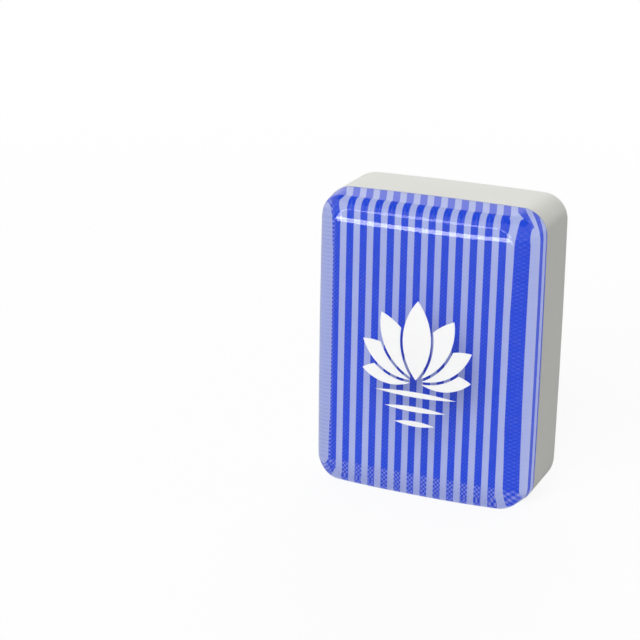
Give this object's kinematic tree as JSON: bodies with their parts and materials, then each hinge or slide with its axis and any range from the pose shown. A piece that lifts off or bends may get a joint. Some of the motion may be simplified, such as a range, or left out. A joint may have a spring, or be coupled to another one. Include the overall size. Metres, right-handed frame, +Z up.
{
  "type": "mahjong tile",
  "caption": "Upright mahjong tile: white engraved block with paint-filled rosette and garland, and a clear rounded back bonded over a striped film with a lotus print.",
  "frame": {"origin": "middle of the tile's lower end, on the surface that it stands on", "axes": "+X across the width, +Y from the engraved face to the clear back, +Z up along the height"},
  "size_m": [0.0226, 0.0124, 0.03],
  "materials": {
    "white_resin": "polished white resin, slightly ivory",
    "black_paint": "glossy enamel paint in an engraved groove",
    "green_paint": "glossy enamel paint in engraved grooves",
    "red_paint": "glossy enamel paint in engraved grooves",
    "clear_adhesive": "clear laminating adhesive",
    "lilac_film": "pale lilac carrier film",
    "blue_ink": "screen-printed blue ink",
    "clear_acrylic": "polished clear acrylic",
    "white_ink": "opaque white transfer print"
  },
  "bodies": {
    "root": {"face_block": "white_resin", "ring_paint": "black_paint", "petal_paint": "green_paint", "vein_paint": "green_paint", "bead_paint": "green_paint", "eye_paint": "red_paint", "blossom_paint": "red_paint", "leaf_paint": "red_paint", "block_bond": "clear_adhesive", "stripe_film": "lilac_film", "blue_stripes": "blue_ink", "clear_bond": "clear_adhesive", "clear_back": "clear_acrylic", "back_print": "white_ink"}
  },
  "joints": []
}
